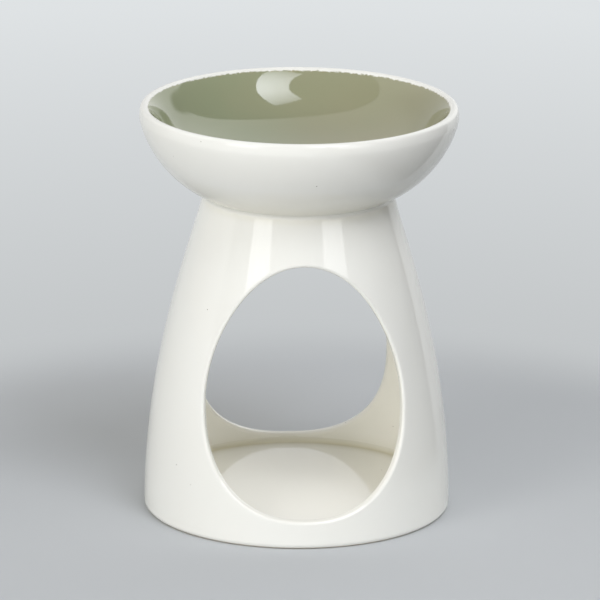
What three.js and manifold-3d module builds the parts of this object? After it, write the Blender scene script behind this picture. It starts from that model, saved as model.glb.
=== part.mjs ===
// Wax melt burner in glazed pottery: a bell-shaped body with an egg-shaped window cut through its
// front and its back, a floor inside it for a tea light, and a shallow dish on its neck that holds
// the wax and is lined with a coloured glaze.
// Millimetres, +Z up. The origin is the centre of the foot. The windows face -Y and +Y.

import * as THREE from 'three';
import { mergeVertices } from 'three/addons/utils/BufferGeometryUtils.js';
import Module from 'manifold-3d';

const wasm = await Module();
wasm.setup();

// Body
const footRadius = 44.5; // outer radius of the body just above its rounded foot edge
const footRound = 1.6; // rounding of the outer foot edge
const neckRadius = 27.6; // outer radius of the body where the dish sits
const neckHeight = 93.9; // from the surface it stands on to the seat of the dish
const bodyWall = 3.4; // thickness of the side, square to its surface
const sideReach = 46; // how far up the side keeps nearly upright
const neckReach = 9.6; // how far down the side keeps the slope it has at the neck
const neckFlare = 1.7; // how far the side runs out over that reach

// Foot ring and tea light floor
const footRingWidth = 6.4; // from the side's outer radius to the ring's inner edge
const footRingHeight = 2.4; // depth of the hollow under the floor
const floorThickness = 3.4;
const floorClearance = 0.3; // all round, between the floor and the wall
const coveRadius = 1.6; // hollow round where the floor turns up to the wall
const coveLip = 0.4; // flat width of the cove's top edge

// Windows
const windowWidth = 57.2; // across the widest part of the cut
const sillHeight = 2.4; // from the floor up to the lowest part of the cut
const windowHeadroom = 13.9; // from the top of the cut to the seat of the dish
const windowWidest = 30.3; // from the lowest part of the cut to its widest
const windowPinch = 0.075; // share by which the upper half is narrower than half an ellipse
const sillFlatness = 2.4; // exponent of the lower half, 2 is an ellipse and more is squarer
const windowTurnIn = 0.4; // 0 cuts straight through the wall, 1 cuts square to it
const windowRoundOutside = 1.1; // rounding of the cut's edge on the outer face
const windowRoundInside = 0.8; // the same on the inner face

// Dish
const rimRadius = 46.1; // outer radius of the dish at its widest
const dishHeight = 26.1; // from its seat on the neck to the top of the rim
const dishWidest = 3; // from the top of the rim down to the widest part of the dish
const rimShoulder = 8; // radius of the outside's curve from there up to the lip
const rimRound = 1.25; // radius of the round lip
const dishSetback = 0.4; // how far the dish starts inside the edge of the neck
const dishSpringOut = 15.1; // direction in which the dish leaves the neck, outwards
const dishSpringUp = 6.8; // and upwards
const dishSideReach = 2.4; // how far down the outside keeps upright below its widest part
const dishFloor = 6.4; // from the seat up to the middle of the dish's inside
const dishInnerAngle = 37; // degrees above level at which the inside leaves the round lip
const dishInnerReach = 8.4; // how far down the inside keeps the slope it has there
const dishInnerSpread = 37.9; // how far out from the axis the inside keeps nearly level
const hollowRadius = 23.2; // of the domed hollow under the dish, within the neck
const hollowDepth = 2.6;

// Glaze lining of the dish
const glazeThickness = 0.5;
const glazeLineAngle = 58; // degrees above level at which the glaze ends on the inside of the lip
const glazeEdge = 0.15; // thickness of the glaze where it ends
const glazeFade = 3; // distance below its edge at which the glaze has its full thickness

// Facets
const turnSteps = 64;
const sideSteps = 14;
const wallSteps = 10;
const dishSteps = 10;
const roundSteps = 4;
const hollowSteps = 6;
const shoulderSteps = 2;
const lipSteps = 4;
const glazeLineSteps = 1;
const coveSteps = 4;
const windowSteps = 64;
const edgeSteps = 3;
const halvings = 40; // to find a height on the side's curve

// Heights that follow from the sizes above
const floorTop = footRingHeight + floorThickness;
const windowBottom = floorTop + sillHeight;
const windowTop = neckHeight - windowHeadroom;
const windowMiddle = windowBottom + windowWidest;
const rimTop = neckHeight + dishHeight;
const widestHeight = rimTop - dishWidest;

// A point of a profile: distance from the axis, and height
function at(radius, height) {
  return new THREE.Vector2(radius, height);
}

// Points along a cubic curve, both ends included
function sweep(start, startHandle, endHandle, end, steps) {
  return new THREE.CubicBezierCurve(start, startHandle, endHandle, end).getPoints(steps);
}

// Points along part of a circle, both ends included, angles in degrees from level
function arc(centre, radius, fromDegrees, toDegrees, steps) {
  const points = [];
  for (let i = 0; i <= steps; i += 1) {
    const angle = THREE.MathUtils.degToRad(THREE.MathUtils.lerp(fromDegrees, toDegrees, i / steps));
    points.push(at(centre.x + radius * Math.cos(angle), centre.y + radius * Math.sin(angle)));
  }
  return points;
}

// Outer line of the body's side, from the foot rounding up to the neck
const side = new THREE.CubicBezierCurve(
  at(footRadius, footRound),
  at(footRadius, footRound + sideReach),
  at(neckRadius + neckFlare, neckHeight - neckReach),
  at(neckRadius, neckHeight),
);

// Place along the side's curve at a given height, found by halving
function sidePlace(height) {
  let low = 0;
  let high = 1;
  for (let i = 0; i < halvings; i += 1) {
    const middle = (low + high) / 2;
    if (side.getPoint(middle).y < height) low = middle;
    else high = middle;
  }
  return (low + high) / 2;
}

// Outer and inner radius of the body at a height; the wall keeps its thickness square to the side
function bodyRadii(height) {
  const place = sidePlace(THREE.MathUtils.clamp(height, footRound, neckHeight));
  const outer = side.getPoint(place).x;
  const slope = side.getTangent(place);
  return { outer, inner: outer - bodyWall / Math.abs(slope.y) };
}

// A solid from a mesh whose seams are still open: its doubled points are merged first
function solidFrom(geometry) {
  const bare = geometry.clone();
  bare.deleteAttribute('normal');
  bare.deleteAttribute('uv');
  const merged = mergeVertices(bare);
  const corners = merged.index.array;
  const kept = [];
  for (let i = 0; i < corners.length; i += 3) {
    const [a, b, c] = corners.subarray(i, i + 3);
    if (a !== b && b !== c && c !== a) kept.push(a, b, c);
  }
  return new wasm.Manifold(new wasm.Mesh({
    numProp: 3,
    vertProperties: new Float32Array(merged.attributes.position.array),
    triVerts: new Uint32Array(kept),
  }));
}

// A profile carried once round the Z axis. It runs anticlockwise with the radius to the right, so
// that the faces look outwards, and it closes on itself or starts and ends on the axis.
function turned(profile) {
  const lathe = new THREE.LatheGeometry(profile, turnSteps);
  lathe.rotateX(Math.PI / 2);
  return solidFrom(lathe);
}

// A named mesh from a solid
function piece(name, solid, finish) {
  const mesh = solid.getMesh();
  const geometry = new THREE.BufferGeometry();
  geometry.setAttribute('position', new THREE.BufferAttribute(mesh.vertProperties, 3));
  geometry.setIndex(new THREE.BufferAttribute(mesh.triVerts, 1));
  geometry.computeVertexNormals();
  const result = new THREE.Mesh(geometry, finish);
  result.name = name;
  return result;
}

// The outline of the window, as one closed curve in width and height. The upper part is half
// an ellipse, drawn in towards its top, and the lower part is half a superellipse.
class WindowOutline extends THREE.Curve {
  getPoint(share, target = new THREE.Vector2()) {
    const angle = share * Math.PI * 2;
    const across = Math.cos(angle);
    const up = Math.sin(angle);
    const half = windowWidth / 2;
    if (up >= 0) {
      const drawnIn = 1 - windowPinch * up * up * (3 - 2 * up);
      return target.set(half * across * drawnIn, windowMiddle + (windowTop - windowMiddle) * up);
    }
    const power = 2 / sillFlatness;
    return target.set(
      half * Math.sign(across) * Math.abs(across) ** power,
      windowMiddle - windowWidest * Math.abs(up) ** power,
    );
  }
}

// Depth into the wall, as a share of its thickness, and how much wider than the cut the opening is
// there: a rounded edge on the outer face, a straight stretch and a rounded edge on the inner face.
// The first and last lie one wall's thickness outside the wall.
function windowStations() {
  const stations = [{ share: -1, wider: windowRoundOutside }];
  for (let i = 0; i <= edgeSteps; i += 1) {
    const angle = (i / edgeSteps) * Math.PI / 2;
    stations.push({
      share: windowRoundOutside * (1 - Math.cos(angle)) / bodyWall,
      wider: windowRoundOutside * (1 - Math.sin(angle)),
    });
  }
  for (let i = edgeSteps; i >= 0; i -= 1) {
    const angle = (i / edgeSteps) * Math.PI / 2;
    stations.push({
      share: 1 - windowRoundInside * (1 - Math.cos(angle)) / bodyWall,
      wider: windowRoundInside * (1 - Math.sin(angle)),
    });
  }
  stations.push({ share: 2, wider: windowRoundInside });
  return stations;
}

// The solid that cuts one window: the outline repeated at each depth, on the curve of the wall
function windowCutter(facing) {
  const outline = new WindowOutline().getSpacedPoints(windowSteps).slice(0, windowSteps);
  const stations = windowStations();
  const points = [];
  for (const { share, wider } of stations) {
    outline.forEach((point, i) => {
      const before = outline[(i + windowSteps - 1) % windowSteps];
      const after = outline[(i + 1) % windowSteps];
      const along = after.clone().sub(before).normalize();
      const width = point.x + wider * along.y;
      const height = point.y - wider * along.x;
      const { outer, inner } = bodyRadii(height);
      const radius = THREE.MathUtils.lerp(outer, inner, share);
      const turnedIn = 1 - windowTurnIn * (1 - radius / outer);
      const x = width * turnedIn;
      points.push(-facing * x, facing * Math.sqrt(radius * radius - x * x), height);
    });
  }
  const { outer, inner } = bodyRadii(windowMiddle);
  const innerEnd = THREE.MathUtils.lerp(outer, inner, stations[stations.length - 1].share);
  const outerTip = 2 * outer; // far enough out for the slopes up to it to clear the round body
  const middles = [points.length / 3, points.length / 3 + 1];
  points.push(0, facing * outerTip, windowMiddle, 0, facing * innerEnd, windowMiddle);
  const faces = [];
  const last = (stations.length - 1) * windowSteps;
  for (let i = 0; i < windowSteps; i += 1) {
    const next = (i + 1) % windowSteps;
    faces.push(middles[0], i, next, middles[1], last + next, last + i);
    for (let row = 0; row < last; row += windowSteps) {
      faces.push(row + i, row + windowSteps + i, row + windowSteps + next);
      faces.push(row + i, row + windowSteps + next, row + next);
    }
  }
  return new wasm.Manifold(new wasm.Mesh({
    numProp: 3,
    vertProperties: new Float32Array(points),
    triVerts: new Uint32Array(faces),
  }));
}

// Body: foot ring, side wall and neck, with both windows cut out
function burnerBody() {
  const footCentre = at(footRadius - footRound, footRound);
  const ringInner = footRadius - footRingWidth;
  const outside = side.getPoints(sideSteps);
  const inside = [];
  for (let i = 0; i <= wallSteps; i += 1) {
    const height = THREE.MathUtils.lerp(neckHeight, footRingHeight, i / wallSteps);
    inside.push(at(bodyRadii(height).inner, height));
  }
  const profile = [
    at(ringInner, 0),
    ...arc(footCentre, footRound, -90, 0, roundSteps),
    ...outside.slice(1),
    ...inside,
    at(ringInner, footRingHeight),
    at(ringInner, 0),
  ];
  return turned(profile).subtract(windowCutter(-1)).subtract(windowCutter(1));
}

// Floor: a disc on the foot ring that turns up to the wall in a cove
function tealightFloor() {
  const edge = bodyRadii(floorTop).inner - floorClearance;
  const coveCentre = at(edge - coveLip - coveRadius, floorTop + coveRadius);
  return turned([
    at(0, footRingHeight),
    at(edge, footRingHeight),
    at(edge, floorTop + coveRadius),
    ...arc(coveCentre, coveRadius, 0, -90, coveSteps),
    at(0, floorTop),
  ]);
}

// The lip: a round that the outside of the dish runs into from its widest part
const shoulderCentre = at(rimRadius - rimShoulder, widestHeight);
const lipStart = Math.asin((rimTop - rimRound - widestHeight) / (rimShoulder - rimRound));
const lipCentre = at(
  shoulderCentre.x + (rimShoulder - rimRound) * Math.cos(lipStart),
  rimTop - rimRound,
);
const lipStartAngle = THREE.MathUtils.radToDeg(lipStart);
const glazeEdgeAngle = 180 - glazeLineAngle;
const lipEndAngle = 180 - dishInnerAngle;

// Inside of the dish from the glaze's edge on the lip down to the axis
const lipInside = arc(lipCentre, rimRound, glazeEdgeAngle, lipEndAngle, glazeLineSteps);
const lipEnd = lipInside[lipInside.length - 1];
const slopeDown = at(lipCentre.y - lipEnd.y, lipEnd.x - lipCentre.x).divideScalar(rimRound);
const dishInside = [
  ...lipInside.slice(0, -1),
  ...sweep(
    lipEnd,
    lipEnd.clone().addScaledVector(slopeDown, dishInnerReach),
    at(dishInnerSpread, neckHeight + dishFloor),
    at(0, neckHeight + dishFloor),
    dishSteps,
  ),
];

// Dish: a flat ring as its seat on the neck round a domed hollow, a swelling outside, a round lip
// and a smooth inside
function waxDish() {
  const seatRadius = neckRadius - dishSetback;
  const hollow = new THREE.EllipseCurve(0, neckHeight, hollowRadius, hollowDepth, Math.PI / 2, 0, true);
  const outside = sweep(
    at(seatRadius, neckHeight),
    at(seatRadius + dishSpringOut, neckHeight + dishSpringUp),
    at(rimRadius, widestHeight - dishSideReach),
    at(rimRadius, widestHeight),
    dishSteps,
  );
  return turned([
    ...hollow.getPoints(hollowSteps),
    ...outside,
    ...arc(shoulderCentre, rimShoulder, 0, lipStartAngle, shoulderSteps).slice(1),
    ...arc(lipCentre, rimRound, lipStartAngle, glazeEdgeAngle, lipSteps).slice(1, -1),
    ...dishInside,
  ]);
}

// Glaze: a skin on the inside of the dish that thins out towards its edge on the lip
function dishGlaze() {
  let travelled = 0;
  const surface = dishInside.map((point, i) => {
    const before = dishInside[Math.max(i - 1, 0)];
    const after = dishInside[Math.min(i + 1, dishInside.length - 1)];
    if (i > 0) travelled += point.distanceTo(before);
    if (point.x === 0) return at(0, point.y + glazeThickness);
    const along = after.clone().sub(before).normalize();
    const thickness = THREE.MathUtils.lerp(glazeEdge, glazeThickness, Math.min(1, travelled / glazeFade));
    return at(point.x + along.y * thickness, point.y - along.x * thickness);
  });
  return turned([...dishInside.slice().reverse(), ...surface]);
}

// Finishes
const whiteGlaze = new THREE.MeshStandardMaterial({ color: 0xf1efe8, roughness: 0.12, metalness: 0 });
const chamberGlaze = new THREE.MeshStandardMaterial({ color: 0xe9e4d6, roughness: 0.16, metalness: 0 });
const sageGlaze = new THREE.MeshStandardMaterial({ color: 0x959a7f, roughness: 0.08, metalness: 0 });

const burner = new THREE.Group();
burner.add(piece('burner_body', burnerBody(), whiteGlaze));
burner.add(piece('tealight_floor', tealightFloor(), chamberGlaze));
burner.add(piece('wax_dish', waxDish(), whiteGlaze));
burner.add(piece('dish_glaze', dishGlaze(), sageGlaze));

export default burner;
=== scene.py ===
# Wax melt burner in glazed pottery: its fine surfaces, its glazes and a plain studio round it.
import math
import bmesh
import bpy
import numpy as np
from mathutils import Matrix, Vector


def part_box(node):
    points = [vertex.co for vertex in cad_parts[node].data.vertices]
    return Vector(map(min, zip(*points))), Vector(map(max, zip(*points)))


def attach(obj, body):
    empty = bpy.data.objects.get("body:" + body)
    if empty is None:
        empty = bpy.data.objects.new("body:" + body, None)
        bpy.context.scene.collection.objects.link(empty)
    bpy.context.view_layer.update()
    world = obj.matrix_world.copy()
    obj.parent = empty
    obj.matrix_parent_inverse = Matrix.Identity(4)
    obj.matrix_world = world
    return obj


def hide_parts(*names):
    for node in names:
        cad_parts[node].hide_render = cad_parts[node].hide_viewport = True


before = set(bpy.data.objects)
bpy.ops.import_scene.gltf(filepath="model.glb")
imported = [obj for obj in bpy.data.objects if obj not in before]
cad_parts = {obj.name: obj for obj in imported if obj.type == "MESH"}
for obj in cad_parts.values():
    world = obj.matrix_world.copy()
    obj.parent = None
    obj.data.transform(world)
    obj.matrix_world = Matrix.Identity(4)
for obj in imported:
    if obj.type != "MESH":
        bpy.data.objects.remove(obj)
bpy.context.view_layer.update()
print("frame loaded:", ", ".join(sorted(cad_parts)))

mm = 0.001
fullTurn = 2 * math.pi
weldDistance = 0.002  # mm, under which points of neighbouring grids become one


# Lowest and highest corner of a node, in millimetres
def nodeBox(node):
    return [np.array(corner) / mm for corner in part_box(node)]


bodyBox = nodeBox("burner_body")
floorBox = nodeBox("tealight_floor")
dishBox = nodeBox("wax_dish")
footRadius = bodyBox[1][0]
neckHeight = bodyBox[1][2]
footHollow = floorBox[0][2]
floorEdge = floorBox[1][0]
coveTop = floorBox[1][2]
rimRadius = dishBox[1][0]
rimTop = dishBox[1][2]


# Points of a cubic curve: each corner weighted by its Bernstein share
def cubicCurve(corners, steps):
    t = np.linspace(0, 1, steps + 1)[:, None]
    a, b, c, d = np.array(corners, float)
    return (1 - t) ** 3 * a + 3 * (1 - t) ** 2 * t * b + 3 * (1 - t) * t**2 * c + t**3 * d


# Points of a quadratic curve that leaves one line and joins another at their corner
def roundedCorner(start, corner, end, steps):
    t = np.linspace(0, 1, steps + 1)[:, None]
    a, b, c = np.array([start, corner, end], float)
    return (1 - t) ** 2 * a + 2 * (1 - t) * t * b + t**2 * c


# Points of an arc: centre plus radius times cosine and sine of the angle, in degrees from level
def arcPoints(centre, radius, fromDegrees, toDegrees, steps):
    angle = np.radians(np.linspace(fromDegrees, toDegrees, steps + 1))
    return np.column_stack([centre[0] + radius * np.cos(angle), centre[1] + radius * np.sin(angle)])


def straightPoints(start, end, steps):
    t = np.linspace(0, 1, steps + 1)[:, None]
    return (1 - t) * np.array(start, float) + t * np.array(end, float)


# Profile stretches joined end to end, each shared point kept once
def joinedProfile(*stretches):
    return np.vstack([stretches[0]] + [stretch[1:] for stretch in stretches[1:]])


# Angles of evenly spaced columns all round, in radians
def columnAngles(columns):
    return np.arange(columns) * fullTurn / columns


# A profile of (radius, height) turned about Z: x = r sin a, y = -r cos a, z = height
def turnedGrid(profile, angles):
    radius, height = profile[:, :1], profile[:, 1:]
    return np.stack([radius * np.sin(angles), -radius * np.cos(angles), height + 0 * angles], -1)


# Quads of a grid of points, rows by columns, whose last column joins the first
def gridFaces(rows, columns):
    across = np.arange(columns)
    start = np.arange(rows - 1)[:, None] * columns
    here, after = start + across, start + (across + 1) % columns
    return np.stack([here, after, after + columns, here + columns], -1).reshape(-1, 4)


# One closed smooth mesh from grids of points that meet along their edges. Each grid comes with
# its values for the named attributes that the glazes read.
def makePiece(name, grids, replaced, material):
    points, faces, attributes = [], [], {}
    count = 0
    for grid, values in grids:
        rows, columns = grid.shape[:2]
        points.append(grid.reshape(-1, 3))
        faces.append(gridFaces(rows, columns) + count)
        for key, value in values.items():
            attributes.setdefault(key, []).append(np.broadcast_to(value, (rows, columns)).ravel())
        count += rows * columns
    mesh = bpy.data.meshes.new(name)
    mesh.from_pydata(np.vstack(points) * mm, [], np.vstack(faces))
    for key, value in attributes.items():
        attribute = mesh.attributes.new(key, "FLOAT", "POINT")
        attribute.data.foreach_set("value", np.concatenate(value).astype(np.float32))
    editor = bmesh.new()
    editor.from_mesh(mesh)
    bmesh.ops.remove_doubles(editor, verts=editor.verts, dist=weldDistance * mm)
    bmesh.ops.recalc_face_normals(editor, faces=editor.faces)
    openEdges = sum(not edge.is_manifold for edge in editor.edges)
    editor.to_mesh(mesh)
    editor.free()
    mesh.shade_smooth()
    mesh.materials.append(material)
    piece = bpy.data.objects.new(name, mesh)
    bpy.context.collection.objects.link(piece)
    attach(piece, "root")
    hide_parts(replaced)
    print(f"{name}: {len(mesh.polygons)} faces, {openEdges} open edges")


# Materials


# An sRGB hex colour as the linear RGBA that a socket takes
def linearColour(hexColour):
    channels = [int(hexColour[i:i + 2], 16) / 255 for i in (1, 3, 5)]
    return [c / 12.92 if c <= 0.04045 else ((c + 0.055) / 1.055) ** 2.4 for c in channels] + [1]


# Adds a node, sets its properties, and sets or links its inputs by name or number
def addNode(tree, kind, inputs=None, **settings):
    node = tree.nodes.new(kind)
    for key, value in settings.items():
        setattr(node, key, value)
    for key, value in (inputs or {}).items():
        if isinstance(value, bpy.types.NodeSocket):
            tree.links.new(value, node.inputs[key])
        else:
            node.inputs[key].default_value = value
    return node


def calculate(tree, operation, *values, **settings):
    inputs = dict(enumerate(values))
    return addNode(tree, "ShaderNodeMath", inputs, operation=operation, **settings).outputs[0]


def calculateVector(tree, operation, *values):
    node = addNode(tree, "ShaderNodeVectorMath", dict(enumerate(values)), operation=operation)
    return node.outputs["Value" if operation in ("DOT_PRODUCT", "LENGTH") else "Vector"]


# A value taken from one range to another and held at its ends, in a straight or a soft step
def mapRange(tree, value, fromRange, toRange=(0, 1), soft=False):
    inputs = {"Value": value, "From Min": fromRange[0], "From Max": fromRange[1],
              "To Min": toRange[0], "To Max": toRange[1]}
    step = "SMOOTHSTEP" if soft else "LINEAR"
    return addNode(tree, "ShaderNodeMapRange", inputs, interpolation_type=step).outputs[0]


# Two colours, each a socket or an sRGB hex, mixed by a share from 0 to 1
def mixColours(tree, share, first, second):
    ends = [linearColour(end) if isinstance(end, str) else end for end in (first, second)]
    inputs = {0: share, 6: ends[0], 7: ends[1]}
    return addNode(tree, "ShaderNodeMix", inputs, data_type="RGBA").outputs[2]


# Noise whose largest waves are that many millimetres long
def addNoise(tree, place, size, detail, roughness):
    inputs = {"Vector": place, "Scale": 1 / (size * mm), "Detail": detail, "Roughness": roughness}
    return addNode(tree, "ShaderNodeTexNoise", inputs).outputs["Fac"]


# The surface tilted as if that map of 0 to 1 were so many millimetres deep
def addBump(tree, height, depth, under=None):
    inputs = {"Height": height, "Strength": 1, "Distance": depth * mm}
    if under is not None:
        inputs["Normal"] = under
    return addNode(tree, "ShaderNodeBump", inputs).outputs[0]


def readAttributes(tree, *names):
    nodes = [addNode(tree, "ShaderNodeAttribute", attribute_name=name) for name in names]
    return [node.outputs["Fac"] for node in nodes]


def newMaterial(name):
    material = bpy.data.materials.new(name)
    material.use_nodes = True
    material.node_tree.nodes.clear()
    return material


# The glassy surface of a glaze with that colour, roughness and tilt
def finishGlaze(tree, look, colour, roughness, tilt):
    inputs = {"Base Color": colour, "Roughness": roughness, "IOR": look["indexOfRefraction"],
              "Normal": tilt}
    shader = addNode(tree, "ShaderNodeBsdfPrincipled", inputs)
    addNode(tree, "ShaderNodeOutputMaterial", {"Surface": shader.outputs[0]})


glazeWhite = dict(
    cream="#f1f1ec",  # the glaze where it lies evenly
    creamThickAndShade="#dcd6bc",  # where it has pooled, and painted shade under the dish, at the neck and in corners
    creamThinAndLit="#faf8ef",  # over edges and inside the body, where it is thinner and paler, with painted light that brightens the dim inside
    clay="#ddd2bf",  # bare fired clay
    pinhole="#6f6551",
    toneSize=34,  # mm, of the slow changes in tone
    toneStrength=0.14,  # how much pooled glaze they are worth
    dimpleSize=7,  # mm, of the soft waves that make reflections wander
    dimpleDepth=0.014,  # mm
    peelSize=1.3,  # mm, of the fine orange peel
    peelDepth=0.0006,  # mm
    pinholeSpacing=7.5,  # mm
    pinholeRadius=0.2,  # mm, drawn a little coarser than the real ones so that it shows
    pinholeCore=0.1,  # mm, inside which it has its full colour
    roughness=0.035,
    clayRoughness=0.85,
    indexOfRefraction=1.54,
)


# Tin-white glaze over cast earthenware, fired glossy: a creamy, faintly uneven white with sharp
# reflections, warmer where the glaze pooled and darker with painted shade under the dish and in
# corners, paler inside with painted light, with a few pinholes, and bare matt clay underneath.
def makeWhiteGlaze():
    look = glazeWhite
    material = newMaterial("cream white glaze fired on cast earthenware")
    tree = material.node_tree
    place = addNode(tree, "ShaderNodeTexCoord").outputs["Object"]
    pooledAndShade, thinAndLit, bare = readAttributes(tree, "pooledAndShade", "thinAndLit", "bare")

    tone = addNoise(tree, place, look["toneSize"], 3, 0.5)
    # The pooled share also carries painted shade under the dish and in corners, drawn in the darker
    # cream
    poolAndShade = calculate(tree, "MULTIPLY_ADD", tone, look["toneStrength"], pooledAndShade, use_clamp=True)
    glaze = mixColours(tree, poolAndShade, look["cream"], look["creamThickAndShade"])
    # Paler where the glaze runs thinner, and where painted light brightens the inside of the body
    glaze = mixColours(tree, thinAndLit, glaze, look["creamThinAndLit"])

    spacing = look["pinholeSpacing"]
    cell = addNode(tree, "ShaderNodeTexVoronoi", {"Vector": place, "Scale": 1 / (spacing * mm)})
    hole = mapRange(tree, cell.outputs["Distance"],
                    (look["pinholeRadius"] / spacing, look["pinholeCore"] / spacing), soft=True)
    glaze = mixColours(tree, hole, glaze, look["pinhole"])
    colour = mixColours(tree, bare, glaze, look["clay"])
    roughness = mapRange(tree, bare, (0, 1), (look["roughness"], look["clayRoughness"]))

    waves = addNoise(tree, place, look["dimpleSize"], 1, 0.4)
    peel = addNoise(tree, place, look["peelSize"], 1, 0.5)
    tilt = addBump(tree, waves, look["dimpleDepth"])
    tilt = addBump(tree, peel, look["peelDepth"], under=tilt)
    finishGlaze(tree, look, colour, roughness, tilt)
    return material


glazeSage = dict(
    sage="#92987a",
    ochre="#a1977c",  # where it ran thin and broke brown
    rust="#a08c5c",  # specks along its edge
    white="#f1f0ea",  # the white glaze that it ends on
    cloudSize=22,  # mm, of the drift between sage and ochre
    cloudStrength=0.5,
    ochreRange=(0.3, 1.3),  # of cloud and breaking together, from sage to ochre
    edgeRaggedness=0.7,  # mm, at the back of the dish
    toothSize=0.9,  # mm
    thinBand=0.5,  # mm, from the edge to the full colour
    speckSize=1.7,  # mm
    speckRange=(0.5, 0.75),  # of the noise, from no rust to full rust
    speckBand=(1.1, -0.2),  # mm below the edge, from no specks to all of them
    dimpleSize=9,  # mm
    dimpleDepth=0.012,  # mm
    roughness=0.045,
    indexOfRefraction=1.56,
)


# Coloured glaze brushed into the dish and fired glassy: an even grey green that drifts to ochre
# where it broke, with a ragged edge on the lip and rusty specks along it.
def makeSageGlaze():
    look = glazeSage
    material = newMaterial("sage green glaze brushed and fired glossy")
    tree = material.node_tree
    place = addNode(tree, "ShaderNodeTexCoord").outputs["Object"]
    below, breaking, ragged = readAttributes(tree, "belowEdge", "breaking", "ragged")

    clouds = addNoise(tree, place, look["cloudSize"], 4, 0.55)
    drift = calculate(tree, "MULTIPLY_ADD", clouds, look["cloudStrength"], breaking)
    body = mixColours(tree, mapRange(tree, drift, look["ochreRange"]), look["sage"], look["ochre"])

    teeth = calculate(tree, "SUBTRACT", addNoise(tree, place, look["toothSize"], 3, 0.6), 0.5)
    teeth = calculate(tree, "MULTIPLY", teeth, ragged)
    depth = calculate(tree, "MULTIPLY_ADD", teeth, -2 * look["edgeRaggedness"], below)
    specks = mapRange(tree, addNoise(tree, place, look["speckSize"], 2, 0.5), look["speckRange"])
    specks = calculate(tree, "MULTIPLY", specks, mapRange(tree, depth, look["speckBand"]))
    body = mixColours(tree, calculate(tree, "MULTIPLY", specks, ragged), body, look["rust"])
    cover = mapRange(tree, depth, (0, look["thinBand"]), soft=True)
    colour = mixColours(tree, cover, look["white"], body)

    tilt = addBump(tree, addNoise(tree, place, look["dimpleSize"], 1, 0.4), look["dimpleDepth"])
    finishGlaze(tree, look, colour, look["roughness"], tilt)
    return material


whiteGlaze = makeWhiteGlaze()
sageGlaze = makeSageGlaze()
print("glazes mixed")


# Dish

dishShape = dict(
    seatRadius=27.2,  # mm, where it starts on the neck
    springOut=15.1,  # mm, out and up, in which direction and how far it leaves the neck
    springUp=6.8,
    sideReach=2.4,  # mm that it keeps upright below its widest part
    widest=3,  # mm from the top of the rim down to its widest part
    rimShoulder=8,  # mm, radius of its curve from there up to the lip
    rimRound=1.25,  # mm, radius of the lip
    floorRise=6.4,  # mm from the seat up to the middle of its inside
    innerAngle=37,  # degrees above level at which the inside leaves the lip
    innerReach=8.4,  # mm that it runs on in that direction
    innerSpread=37.9,  # mm from the axis, how far its level bottom spreads
    hollowRadius=23.2,  # mm, of the domed hollow underneath
    hollowDepth=2.6,  # mm
    glazeLineAngle=58,  # degrees above level at which the coloured glaze ends on the lip
    pooledAndShade=0.5,  # share of pooled glaze and painted shade at the neck
    poolAndShadeReach=11,  # mm above the neck where it ends
    outsideSteps=64,
    shoulderSteps=8,
    lipSteps=24,
    insideSteps=80,
    hollowSteps=16,
    columns=288,
)
widestHeight = rimTop - dishShape["widest"]
shoulderCentre = np.array([rimRadius - dishShape["rimShoulder"], widestHeight])
lipOffset = dishShape["rimShoulder"] - dishShape["rimRound"]
lipStart = math.asin((rimTop - dishShape["rimRound"] - widestHeight) / lipOffset)
lipCentre = shoulderCentre + lipOffset * np.array([math.cos(lipStart), math.sin(lipStart)])
lipEndAngle = 180 - dishShape["innerAngle"]
dishFloor = neckHeight + dishShape["floorRise"]

# Outside of the dish: leaves the neck on a slope, is upright where it is widest and curves in
# towards the lip
dishOutside = joinedProfile(
    cubicCurve([
        (dishShape["seatRadius"], neckHeight),
        (dishShape["seatRadius"] + dishShape["springOut"], neckHeight + dishShape["springUp"]),
        (rimRadius, widestHeight - dishShape["sideReach"]),
        (rimRadius, widestHeight),
    ], dishShape["outsideSteps"]),
    arcPoints(shoulderCentre, dishShape["rimShoulder"], 0, math.degrees(lipStart),
              dishShape["shoulderSteps"]),
)


# The lip between two directions from its centre
def lipArc(fromDegrees, toDegrees, steps):
    return arcPoints(lipCentre, dishShape["rimRound"], fromDegrees, toDegrees, steps)


# Inside of the dish, from the lip down to the axis
lipEnd = lipArc(lipEndAngle, lipEndAngle, 0)[0]
slopeDown = np.array([lipCentre[1] - lipEnd[1], lipEnd[0] - lipCentre[0]]) / dishShape["rimRound"]
dishInside = cubicCurve([
    lipEnd,
    lipEnd + dishShape["innerReach"] * slopeDown,
    (dishShape["innerSpread"], dishFloor),
    (0, dishFloor),
], dishShape["insideSteps"])


def makeDish():
    shape = dishShape
    hollowTurn = np.linspace(0, math.pi / 2, shape["hollowSteps"] + 1)
    hollow = np.column_stack([shape["hollowRadius"] * np.sin(hollowTurn),
                              neckHeight + shape["hollowDepth"] * np.cos(hollowTurn)])
    profile = joinedProfile(
        hollow,
        straightPoints((shape["hollowRadius"], neckHeight), (shape["seatRadius"], neckHeight), 3),
        dishOutside,
        lipArc(math.degrees(lipStart), lipEndAngle, shape["lipSteps"]),
        dishInside,
    )
    # Pooled glaze and painted shade on the underside, strongest at the neck
    above = profile[:, 1:] - neckHeight
    pooledAndShade = shape["pooledAndShade"] * np.clip(1 - above / shape["poolAndShadeReach"], 0, 1)
    grid = turnedGrid(profile, columnAngles(shape["columns"]))
    makePiece("dish_white_glazed", [(grid, dict(pooledAndShade=pooledAndShade, thinAndLit=0.0, bare=0.0))],
              "wax_dish", whiteGlaze)


# Coloured glaze in the dish

liningShape = dict(
    thickness=0.5,  # mm
    edgeThickness=0.03,  # mm
    fade=7.0,  # mm below its edge, where it has its full thickness
    rootDepth=0.06,  # mm that its back lies inside the dish, so that the two can't part
    lowerBack=0.6,  # mm that its colour ends lower at the back
    lowestTurn=160,  # degrees to the right of the front where that is lowest and most ragged
    raggedFront=0.15,  # share of that raggedness at the front
    breakingTurn=125,  # degrees to the right of the front where it broke browner
    breaking=0.5,  # how much
    edgeSteps=6,
    columns=420,
)


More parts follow.
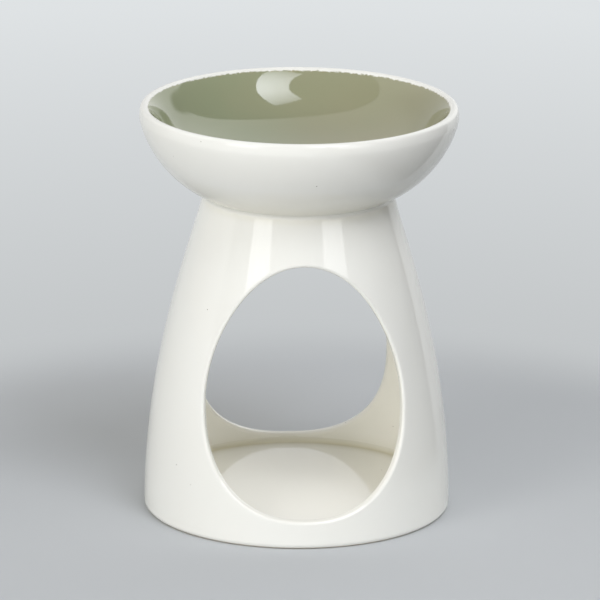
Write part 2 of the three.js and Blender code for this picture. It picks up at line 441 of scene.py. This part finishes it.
# The lining follows the inside of the dish: its face is the dish moved inwards by the glaze's
# thickness, which grows from the edge down, and its back lies just inside the dish.
def makeLining():
    shape = liningShape
    lip = lipArc(180 - dishShape["glazeLineAngle"], lipEndAngle, shape["edgeSteps"])
    path = joinedProfile(lip, dishInside)
    travelled = np.concatenate([[0], np.cumsum(np.hypot(*np.diff(path, axis=0).T))])
    along = np.gradient(path, axis=0)
    along /= np.hypot(along[:, 0], along[:, 1])[:, None]
    outOfWall = np.column_stack([along[:, 1], -along[:, 0]])
    grown = 1 - (1 - np.clip(travelled / shape["fade"], 0, 1)) ** 2
    thickness = shape["edgeThickness"] + (shape["thickness"] - shape["edgeThickness"]) * grown
    face = path + outOfWall * thickness[:, None]
    face[-1] = (0, dishFloor + shape["thickness"])
    back = path - outOfWall * shape["rootDepth"]
    back[-1] = (0, dishFloor - shape["rootDepth"])
    below = np.concatenate([travelled[::-1], travelled])[:, None]
    angles = columnAngles(shape["columns"])
    toBrown = np.cos(angles - math.radians(shape["breakingTurn"]))[None, :]
    toLowest = (1 + np.cos(angles - math.radians(shape["lowestTurn"])))[None, :] / 2
    values = dict(belowEdge=below - shape["lowerBack"] * toLowest,
                  breaking=shape["breaking"] * toBrown,
                  ragged=shape["raggedFront"] + (1 - shape["raggedFront"]) * toLowest)
    grid = turnedGrid(np.vstack([back[::-1], face]), angles)
    makePiece("sage_glaze_lining", [(grid, values)], "dish_glaze", sageGlaze)


# Floor

floorShape = dict(
    thickness=3.4,  # mm
    coveRadius=1.6,  # mm, of the hollow corner up to the wall
    intoWall=0.36,  # mm that its edge reaches into the wall
    coveEnd=0.06,  # mm, width of the rim that the hollow ends in there
    pooledFlat=0.1,  # share of pooled glaze on the flat
    cornerPoolAndShade=0.85,  # how much more pooled glaze and painted shade there is where the hollow starts
    topPoolAndShade=0.35,  # and where it ends
    poolAndShadeFrom=5,  # mm in from the edge where pooling and painted shade start
    poolAndShadeOver=4,  # mm from there to all of it
    thinAndLit=0.9,  # share of thin glaze and painted light where none is pooled
    columns=256,
)


# A disc whose edge turns up into the wall in a quarter round and ends a hair inside it
def makeFloor():
    shape = floorShape
    top = footHollow + shape["thickness"]
    cove = shape["coveRadius"]
    reach = floorEdge + shape["intoWall"]
    coveReach = reach - shape["coveEnd"]
    profile = joinedProfile(
        straightPoints((0, footHollow), (floorEdge, footHollow), 12),
        straightPoints((floorEdge, footHollow), (reach, coveTop), 4),
        straightPoints((reach, coveTop), (coveReach, coveTop), 1),
        arcPoints((coveReach - cove, top + cove), cove, 0, -90, 12),
        straightPoints((coveReach - cove, top), (0, top), 16),
    )
    radius, height = profile[:, :1], profile[:, 1:]
    # Pooled glaze and painted shade darken the ring where the floor turns up into the wall
    upCove = np.clip((height - top) / cove, 0, 1)
    inCorner = shape["cornerPoolAndShade"] + (shape["topPoolAndShade"] - shape["cornerPoolAndShade"]) * upCove
    outward = np.clip((radius - floorEdge + shape["poolAndShadeFrom"]) / shape["poolAndShadeOver"], 0, 1)
    pooledAndShade = shape["pooledFlat"] + inCorner * outward
    bare = np.isclose(height, footHollow) * 1.0
    grid = turnedGrid(profile, columnAngles(shape["columns"]))
    # The floor is paler with thinner glaze and painted light
    makePiece("floor_white_glazed",
              [(grid, dict(pooledAndShade=pooledAndShade, thinAndLit=shape["thinAndLit"] * (1 - pooledAndShade), bare=bare))],
              "tealight_floor", whiteGlaze)


# Body

bodyShape = dict(
    footRound=1.6,  # mm, radius of the foot's outer edge
    neckRadius=27.6,  # mm
    sideReach=46,  # mm above the foot, how far its side keeps upright
    neckReach=9.6,  # mm, down and out, in which direction and how far it leaves the neck
    neckFlare=1.7,
    wall=3.4,  # mm, square to the side
    ringWidth=6.4,  # mm, of the ring that it stands on
    ringRound=0.4,  # mm, radius of the ring's inner edge
    neckFillet=0.9,  # mm, where slip and glaze fill the corner under the dish
    filletLift=0.15,  # mm above the neck that this corner lies
    ceilingFillet=1.2,  # mm, in the corner of the wall and the ceiling
    rootDepth=0.3,  # mm that its hidden top lies inside the dish
    rootEdge=0.04,  # mm, and at the edges of that
    rootInset=1,  # mm in from the outside, where that is deepest
    neckPoolAndShade=0.4,  # share of pooled glaze and painted shade under the dish
    neckPoolAndShadeReach=4,  # mm below the dish where it ends
    filletPoolAndShade=0.15,  # and in the fillet itself
    pooledInside=0.15,  # on the inside
    covePoolAndShade=0.45,  # how much more pooled glaze and painted shade there is at the floor
    covePoolAndShadeReach=3,  # mm above it where that ends
    thinAndLitInside=0.8,  # share of thin glaze and painted light on the inside
    thinAndLitDepth=0.6,  # share of the wall at which the cut has that
    bareHeight=0.35,  # mm up to which the foot is bare clay
    turnColumns=96,  # in half a turn
    sideColumns=72,  # up the seam between the halves
    rows=40,  # from a window out to the seam
    rowSpread=1.25,  # power that crowds them towards the window
    sideSteps=2000,
)
windowShape = dict(
    width=57.2,  # mm
    aboveFloor=2.4,  # mm from the floor up to its bottom
    headroom=13.9,  # mm from its top up to the neck
    widest=30.3,  # mm from its bottom up to its widest part
    pinch=0.075,  # share of its width that it is drawn in near the top
    flatness=2.4,  # power of its lower half, 2 for an ellipse and more for a flatter bottom
    turnIn=0.4,  # how its cut edge faces, from 0 across the window to 1 straight out of the body
    roundOutside=1.1,  # mm, radius of its outer edge
    roundInside=1.2,  # mm, radius of its inner edge
    outsideSteps=9,
    straightSteps=5,
    insideSteps=7,
    outlineSteps=8000,
    slopeReach=0.2,  # mm to each side over which its direction is measured
)

sideCurve = cubicCurve([
    (footRadius, bodyShape["footRound"]),
    (footRadius, bodyShape["footRound"] + bodyShape["sideReach"]),
    (bodyShape["neckRadius"] + bodyShape["neckFlare"], neckHeight - bodyShape["neckReach"]),
    (bodyShape["neckRadius"], neckHeight),
], bodyShape["sideSteps"])
sideLean = np.gradient(sideCurve[:, 0], sideCurve[:, 1])
wallInside = sideCurve[:, 0] - bodyShape["wall"] * np.hypot(1, sideLean)


def outerRadius(height):
    return np.interp(height, sideCurve[:, 1], sideCurve[:, 0])


def innerRadius(height):
    return np.interp(height, sideCurve[:, 1], wallInside)


# The window's outline, anticlockwise from its lower right, as width and height, and the direction
# away from it. Above its widest part it is half an ellipse drawn in towards the top, below it
# half a superellipse. The points are evenly spaced between four corners, one for each corner of
# the half of the wall that it is cut in.
def windowOutline():
    shape = windowShape
    bottom = footHollow + floorShape["thickness"] + shape["aboveFloor"]
    top = neckHeight - shape["headroom"]
    middle = bottom + shape["widest"]
    cornerAngles = np.radians([-45, 45, 135, 225, 315])
    angle = np.linspace(cornerAngles[0], cornerAngles[-1], shape["outlineSteps"] + 1)
    across, up = np.cos(angle), np.sin(angle)
    power = 2 / shape["flatness"]
    half = shape["width"] / 2
    upper = np.column_stack([
        half * across * (1 - shape["pinch"] * up**2 * (3 - 2 * up)),
        middle + (top - middle) * up,
    ])
    lower = np.column_stack([
        half * np.sign(across) * np.abs(across) ** power,
        middle - shape["widest"] * np.abs(up) ** power,
    ])
    line = np.where(up[:, None] >= 0, upper, lower)
    travelled = np.concatenate([[0], np.cumsum(np.hypot(*np.diff(line, axis=0).T))])
    corners = np.interp(cornerAngles, angle, travelled)
    counts = [bodyShape["sideColumns"], bodyShape["turnColumns"]] * 2
    places = np.concatenate([
        np.linspace(corners[i], corners[i + 1], counts[i], endpoint=False) for i in range(4)
    ])

    def lineAt(places):
        return np.column_stack([
            np.interp(places, travelled, line[:, i], period=travelled[-1]) for i in (0, 1)
        ])

    along = lineAt(places + shape["slopeReach"]) - lineAt(places - shape["slopeReach"])
    along /= np.hypot(along[:, 0], along[:, 1])[:, None]
    return lineAt(places), np.column_stack([along[:, 1], -along[:, 0]])


# Points of the cut at depths through the wall: share 0 is the outer face and 1 the inner, and
# the outline is moved out by the wider amount that the rounded edges have there
def windowCut(shares, widers):
    outline, away = windowOutline()
    moved = outline[None] + away[None] * widers[:, None, None]
    width, height = moved[..., 0], moved[..., 1]
    outer, inner = outerRadius(height), innerRadius(height)
    radius = outer + (inner - outer) * shares[:, None]
    x = width * (1 - windowShape["turnIn"] * (1 - radius / outer))
    return np.stack([x, -np.sqrt(radius**2 - x**2), height], -1)


# Those shares and amounts: each rounded edge as a quarter circle, and the straight stretch between
def cutStations():
    shape, wall = windowShape, bodyShape["wall"]
    turn = np.linspace(0, math.pi / 2, shape["outsideSteps"] + 1)
    shares = [shape["roundOutside"] * (1 - np.cos(turn)) / wall]
    widers = [shape["roundOutside"] * (1 - np.sin(turn))]
    start, end = shape["roundOutside"] / wall, 1 - shape["roundInside"] / wall
    shares.append(np.linspace(start, end, shape["straightSteps"] + 1)[1:-1])
    widers.append(np.zeros(shape["straightSteps"] - 1))
    turn = np.linspace(math.pi / 2, 0, shape["insideSteps"] + 1)
    shares.append(1 - shape["roundInside"] * (1 - np.cos(turn)) / wall)
    widers.append(shape["roundInside"] * (1 - np.sin(turn)))
    return np.concatenate(shares), np.concatenate(widers)


# One face of the front half of the wall as a grid from the cut's edge out to the border of the
# half: angle and height run straight from one to the other, and the radius follows the height
def wallGrid(edge, radiusAt, low, high):
    shape = bodyShape
    sides, tops = np.ones(shape["sideColumns"]), np.ones(shape["turnColumns"])
    rise = np.linspace(0, 1, shape["sideColumns"], endpoint=False)
    sweep = np.linspace(0, 1, shape["turnColumns"], endpoint=False)
    borderAngle = math.pi / 2 * np.concatenate([sides, 1 - 2 * sweep, -sides, 2 * sweep - 1])
    borderHeight = low + (high - low) * np.concatenate([rise, tops, 1 - rise, 0 * tops])
    edgeAngle, edgeHeight = np.arctan2(edge[:, 0], -edge[:, 1]), edge[:, 2]
    t = np.linspace(0, 1, shape["rows"] + 1)[:, None] ** shape["rowSpread"]
    angle = edgeAngle + (borderAngle - edgeAngle) * t
    height = edgeHeight + (borderHeight - edgeHeight) * t
    radius = radiusAt(height)
    return np.stack([radius * np.sin(angle), -radius * np.cos(angle), height], -1)


# The neck's profile: the fillet under the dish, then hidden inside the dish, then the fillet of
# the ceiling
def neckProfile(neckStart, ceilingStart):
    shape = bodyShape
    filletEnd = shape["neckRadius"] + shape["neckFillet"]
    underDish = dishOutside[np.searchsorted(dishOutside[:, 0], filletEnd)] + (0, shape["rootEdge"])
    root = (shape["neckRadius"] - shape["rootInset"], neckHeight + shape["rootDepth"])
    ceiling = (innerRadius(neckHeight) - shape["ceilingFillet"], neckHeight + shape["rootEdge"])
    return joinedProfile(
        roundedCorner((outerRadius(neckStart), neckStart),
                      (outerRadius(neckHeight), neckHeight + shape["filletLift"]), underDish, 8),
        straightPoints(underDish, root, 2),
        straightPoints(root, ceiling, 2),
        roundedCorner(ceiling, (innerRadius(neckHeight), neckHeight),
                      (innerRadius(ceilingStart), ceilingStart), 6),
    )


# The foot's profile: its rounded outer edge, the ring that it stands on, and the recess inside
def footProfile():
    shape = bodyShape
    outer, ringRound = shape["footRound"], shape["ringRound"]
    ringInner = footRadius - shape["ringWidth"]
    return joinedProfile(
        arcPoints((footRadius - outer, outer), outer, 0, -90, 12),
        straightPoints((footRadius - outer, 0), (ringInner + ringRound, 0), 6),
        arcPoints((ringInner + ringRound, ringRound), ringRound, -90, -180, 5),
        straightPoints((ringInner, ringRound), (ringInner, footHollow), 1),
        straightPoints((ringInner, footHollow), (innerRadius(footHollow), footHollow), 2),
    )


def makeBody():
    shape = bodyShape
    shares, widers = cutStations()
    cut = windowCut(shares, widers)
    neckStart = neckHeight - shape["neckFillet"]
    ceilingStart = neckHeight - shape["ceilingFillet"]
    front = [
        (wallGrid(cut[0], outerRadius, shape["footRound"], neckStart), 0),
        (cut, shares[:, None]),
        (wallGrid(cut[-1], innerRadius, footHollow, ceilingStart), 1),
    ]
    grids = []
    for points, depth in front:
        height = points[..., 2]
        # Pooled glaze and painted shade under the dish, strongest at the neck
        nearNeck = np.clip(1 - (neckHeight - height) / shape["neckPoolAndShadeReach"], 0, 1)
        # Pooled glaze and painted shade in the corner where the wall meets the floor
        nearCove = np.clip(1 - (height - coveTop) / shape["covePoolAndShadeReach"], 0, 1)
        inside = depth * (shape["pooledInside"] + shape["covePoolAndShade"] * nearCove**2)
        # Paler inside with thinner glaze and painted light
        thinAndLit = shape["thinAndLitInside"] * np.clip(depth / shape["thinAndLitDepth"], 0, 1)
        pooledAndShade = np.maximum(shape["neckPoolAndShade"] * nearNeck**2, inside)
        values = dict(pooledAndShade=pooledAndShade, thinAndLit=thinAndLit, bare=0.0)
        grids.append((points, values))
        grids.append((points * (-1, -1, 1), values))
    angles = columnAngles(2 * shape["turnColumns"]) - math.pi / 2
    neck, foot = neckProfile(neckStart, ceilingStart), footProfile()
    bare = (foot[:, 1:] < shape["bareHeight"]) * 1.0
    grids.append((turnedGrid(neck, angles), dict(pooledAndShade=shape["filletPoolAndShade"], thinAndLit=0.0, bare=0.0)))
    grids.append((turnedGrid(foot, angles), dict(pooledAndShade=0.0, thinAndLit=0.0, bare=bare)))
    makePiece("body_white_glazed", grids, "burner_body", whiteGlaze)


makeBody()
makeFloor()
makeDish()
makeLining()


# Studio

studio = dict(
    table="#c6c9cb",  # the pale cloth round the object
    sweep="#c4c7c9",  # and farther off
    bareFloor="#35373a",  # what lights the object and mirrors in it beside the cloth, on the right
    clothEdge=45,  # mm to the right, where the line of the cloth's edge passes the object
    clothTurn=38,  # degrees from the right to the back that the line runs
    clothLineBlend=4,  # mm over which it fades
    clothSide=(85, 115),  # mm to the right, where the cloth ends in front of that
    clothReach=(0.75, 0.79),  # how far to the right it hangs behind the object, 1 for all the way
    backdrop="#f6fafc",  # what the camera and the glazes see beyond the table
    backdropLevels=(0.60, 0.80),  # how bright that is from the table's end to the picture's top
    tableRadius=130,  # mm
    sweepRadius=190,  # mm
    backdropRadius=620,  # mm
    floorRings=(0, 200, 1000, 9000),  # mm
    floorColumns=96,
    skyColour="#f7f7f6",
    skyAbove=0.05,  # radiance of the light from above
    skyLeft=0.7,  # and from each side
    skyRight=0.0,
    skyFront=1.22,
    skyBack=1.4,
    skyTurn=40,  # degrees that these four sides are turned to the left
    backLow=(0.9, 1.6),  # what the glazes mirror low behind it, from the middle to the right
    backHigh=(1.2, 1.9),  # and above that
    backRise=(0.36, 0.62),  # sines of the heights between which it grows from one to the other
    rightEdge=0.45,  # how far to the right it has the level there
    frontLevel=0.25,  # what they mirror from the darker room in front
    backTurn=17,  # degrees that the bright side is turned
    backLean=5,  # degrees that it leans over the object
    backEdge=(0.1775, 0.2025),  # sines of the angle behind the object where it starts
    cameraLevel=0.82,
)


# A pale matt floor that takes the object's shadow. Farther off, the camera and the glazes see a
# backdrop of its own brightness there, which grows with the distance from the object.
def makeStudioFloor():
    material = newMaterial("pale matt paper sweep")
    tree = material.node_tree
    place = addNode(tree, "ShaderNodeTexCoord").outputs["Object"]
    away = calculateVector(tree, "LENGTH", place)
    far = mapRange(tree, away, (studio["tableRadius"] * mm, studio["sweepRadius"] * mm), soft=True)
    turn = math.radians(studio["clothTurn"])
    past = calculateVector(tree, "DOT_PRODUCT", place, (math.sin(turn), -math.cos(turn), 0))
    line = studio["clothEdge"] * math.sin(turn)
    past = mapRange(tree, past, (line * mm, (line + studio["clothLineBlend"]) * mm))
    across = addNode(tree, "ShaderNodeSeparateXYZ", {0: place}).outputs["X"]
    aside = mapRange(tree, across, [side * mm for side in studio["clothSide"]])
    path = addNode(tree, "ShaderNodeLightPath").outputs
    unseen = calculate(tree, "SUBTRACT", 1, path["Is Camera Ray"])
    bare = calculate(tree, "MULTIPLY", calculate(tree, "MULTIPLY", past, aside), unseen)
    colour = mixColours(tree, far, studio["table"], studio["sweep"])
    colour = mixColours(tree, bare, colour, studio["bareFloor"])
    matt = addNode(tree, "ShaderNodeBsdfPrincipled", {"Base Color": colour, "Roughness": 0.9,
                                                      "Specular IOR Level": 0.1})
    level = mapRange(tree, away, (studio["sweepRadius"] * mm, studio["backdropRadius"] * mm),
                     studio["backdropLevels"])
    backdrop = addNode(tree, "ShaderNodeEmission", {"Color": linearColour(studio["backdrop"]),
                                                    "Strength": level})
    seen = calculate(tree, "MAXIMUM", path["Is Camera Ray"], path["Is Glossy Ray"])
    seen = calculate(tree, "SUBTRACT", seen, bare)
    share = calculate(tree, "MULTIPLY", far, seen, use_clamp=True)
    shader = addNode(tree, "ShaderNodeMixShader", {0: share, 1: matt.outputs[0],
                                                   2: backdrop.outputs[0]})
    addNode(tree, "ShaderNodeOutputMaterial", {"Surface": shader.outputs[0]})
    rings = np.array([(ring, 0) for ring in studio["floorRings"]], float)
    points = turnedGrid(rings, columnAngles(studio["floorColumns"]))
    mesh = bpy.data.meshes.new("studio_floor")
    mesh.from_pydata(points.reshape(-1, 3) * mm, [], gridFaces(*points.shape[:2]))
    mesh.materials.append(material)
    floor = bpy.data.objects.new("studio_floor", mesh)
    bpy.context.collection.objects.link(floor)


# Soft light from all round: each side's radiance, weighed by the square of how far the direction
# points to that side. Mirrored in the glaze, the side behind the object and the ceiling are bright
# and the room in front is dark, parted by a plane that leans over the object.
def makeWorld():
    world = bpy.data.worlds.new("studio")
    bpy.context.scene.world = world
    world.use_nodes = True
    tree = world.node_tree
    tree.nodes.clear()
    direction = addNode(tree, "ShaderNodeTexCoord").outputs["Generated"]
    right, _, up = addNode(tree, "ShaderNodeSeparateXYZ", {0: direction}).outputs
    turn, lean = math.radians(studio["backTurn"]), math.radians(studio["backLean"])
    toBack = (-math.sin(turn) * math.cos(lean), math.cos(turn) * math.cos(lean), math.sin(lean))
    high = mapRange(tree, right, (0, studio["rightEdge"]), studio["backHigh"])
    low = mapRange(tree, right, (0, studio["rightEdge"]), studio["backLow"])
    low = mapRange(tree, right, studio["clothReach"], (low, studio["frontLevel"]))
    bright = mapRange(tree, up, studio["backRise"], (low, high), soft=True)
    side = calculateVector(tree, "DOT_PRODUCT", direction, toBack)
    mirrored = mapRange(tree, side, studio["backEdge"], (studio["frontLevel"], bright), soft=True)

    turned = addNode(tree, "ShaderNodeVectorRotate",
                     {"Vector": direction, "Angle": math.radians(studio["skyTurn"])},
                     rotation_type="Z_AXIS").outputs[0]
    sky = 0.0
    forward, backward = ("skyRight", "skyBack", "skyAbove"), ("skyLeft", "skyFront", "skyAbove")
    for way, sides in ((1, forward), (-1, backward)):
        part = calculateVector(tree, "MULTIPLY", turned, (way, way, way))
        part = calculateVector(tree, "MAXIMUM", part, (0, 0, 0))
        part = calculateVector(tree, "MULTIPLY", part, part)
        part = calculateVector(tree, "DOT_PRODUCT", part, [studio[side] for side in sides])
        sky = calculate(tree, "ADD", part, sky)
    path = addNode(tree, "ShaderNodeLightPath").outputs
    level = mapRange(tree, path["Is Glossy Ray"], (0, 1), (sky, mirrored))
    level = mapRange(tree, path["Is Camera Ray"], (0, 1), (level, studio["cameraLevel"]))
    light = addNode(tree, "ShaderNodeBackground", {"Color": linearColour(studio["skyColour"]),
                                                   "Strength": level})
    addNode(tree, "ShaderNodeOutputWorld", {"Surface": light.outputs[0]})


# Lamps stand where the object sees them: degrees to the right of the front, degrees above
# level, distance in metres, width and height in metres, how much they lean, colour, radiance,
# what is left of it at the top, and whether the glazes mirror them
lamps = dict(
    window=dict(turn=22.5, rise=57.5, distance=1.6, size=(0.56, 0.72), roll=16, colour="#f4f7ff",
                radiance=6.5, upper=0.4, mirrored=True),
    left=dict(turn=-45, rise=22, distance=1.6, size=(0.62, 0.77), roll=0, colour="#ffffff",
              radiance=2.35, upper=1.0, mirrored=True),
    leftWash=dict(turn=-45, rise=20, distance=1.6, size=(0.62, 0.62), roll=0, colour="#fff7ee",
                  radiance=2.4, upper=1.0, mirrored=False),
    right=dict(turn=36, rise=20, distance=1.6, size=(0.66, 0.6), roll=0, colour="#ffffff",
               radiance=2.2, upper=1.0, mirrored=True),
    rightHigh=dict(turn=60, rise=55, distance=1.6, size=(0.7, 0.7), roll=0, colour="#ffffff",
                   radiance=2.2, upper=1.0, mirrored=False),
    rightLow=dict(turn=30, rise=9, distance=1.6, size=(0.5, 0.4), roll=0, colour="#ffffff",
                  radiance=1.4, upper=1.0, mirrored=False),
    lowFront=dict(turn=-18, rise=8, distance=1.6, size=(0.8, 0.5), roll=0, colour="#ffffff",
                  radiance=2.0, upper=1.0, mirrored=False),
)


# The direction from the object to what stands so many radians to the right of the front and
# above level
def directionTo(turn, rise):
    level = math.cos(rise)
    return Vector((math.sin(turn) * level, -math.cos(turn) * level, math.sin(rise)))


def makeLamp(name, lamp):
    away = directionTo(math.radians(lamp["turn"]), math.radians(lamp["rise"]))
    light = bpy.data.lights.new(name, "AREA")
    light.shape = "RECTANGLE"
    light.size, light.size_y = lamp["size"]
    light.color = linearColour(lamp["colour"])[:3]
    # a square metre of this radiance gives off pi watts for each unit
    light.energy = lamp["radiance"] * math.pi * light.size * light.size_y
    light.use_nodes = True
    tree = light.node_tree
    tree.nodes.clear()
    place = addNode(tree, "ShaderNodeNewGeometry").outputs["Parametric"]
    upward = addNode(tree, "ShaderNodeSeparateXYZ", {0: place}).outputs["Y"]
    level = mapRange(tree, upward, (0, 1), (2 - lamp["upper"], lamp["upper"]))
    glow = addNode(tree, "ShaderNodeEmission", {"Strength": level})
    addNode(tree, "ShaderNodeOutputLight", {"Surface": glow.outputs[0]})
    holder = bpy.data.objects.new(name, light)
    bpy.context.collection.objects.link(holder)
    aim = Vector((0, 0, rimTop / 2 * mm))
    lean = Matrix.Rotation(math.radians(lamp["roll"]), 3, "Z")
    turned = away.to_track_quat("Z", "Y").to_matrix() @ lean
    holder.matrix_world = Matrix.Translation(aim + away * lamp["distance"]) @ turned.to_4x4()
    holder.visible_glossy = lamp["mirrored"]


makeStudioFloor()
makeWorld()
for name, lamp in lamps.items():
    makeLamp(name, lamp)
print("studio lit")


# Camera, found from the outlines of rim, neck and foot

cameraShape = dict(
    distance=1850,  # mm from the point it looks at
    turn=-3.5,  # degrees to the right of the front
    rise=16.16,  # degrees above level
    roll=0.4,  # degrees that the object's top leans to the right
    aimRight=0.61,  # mm
    aimHeight=61.53,  # mm
    focalLength=382.6,  # mm
    sensorWidth=36,  # mm
    clip=(0.1, 50),  # metres
)


def makeCamera():
    shape = cameraShape
    turn, rise, roll = (math.radians(shape[key]) for key in ("turn", "rise", "roll"))
    back = directionTo(turn, rise)
    level = Vector((math.cos(turn), math.sin(turn), 0))
    up = back.cross(level)
    across = math.cos(roll) * level + math.sin(roll) * up
    upright = math.cos(roll) * up - math.sin(roll) * level
    data = bpy.data.cameras.new("camera")
    data.lens = shape["focalLength"]
    data.sensor_width = shape["sensorWidth"]
    data.clip_start, data.clip_end = shape["clip"]
    camera = bpy.data.objects.new("camera", data)
    bpy.context.collection.objects.link(camera)
    aim = level * shape["aimRight"] * mm + Vector((0, 0, shape["aimHeight"] * mm))
    place = aim + back * shape["distance"] * mm
    turned = Matrix((across, upright, back)).transposed()
    camera.matrix_world = Matrix.Translation(place) @ turned.to_4x4()
    bpy.context.scene.camera = camera


makeCamera()
bpy.context.scene.view_settings.view_transform = "Standard"
print("camera set")
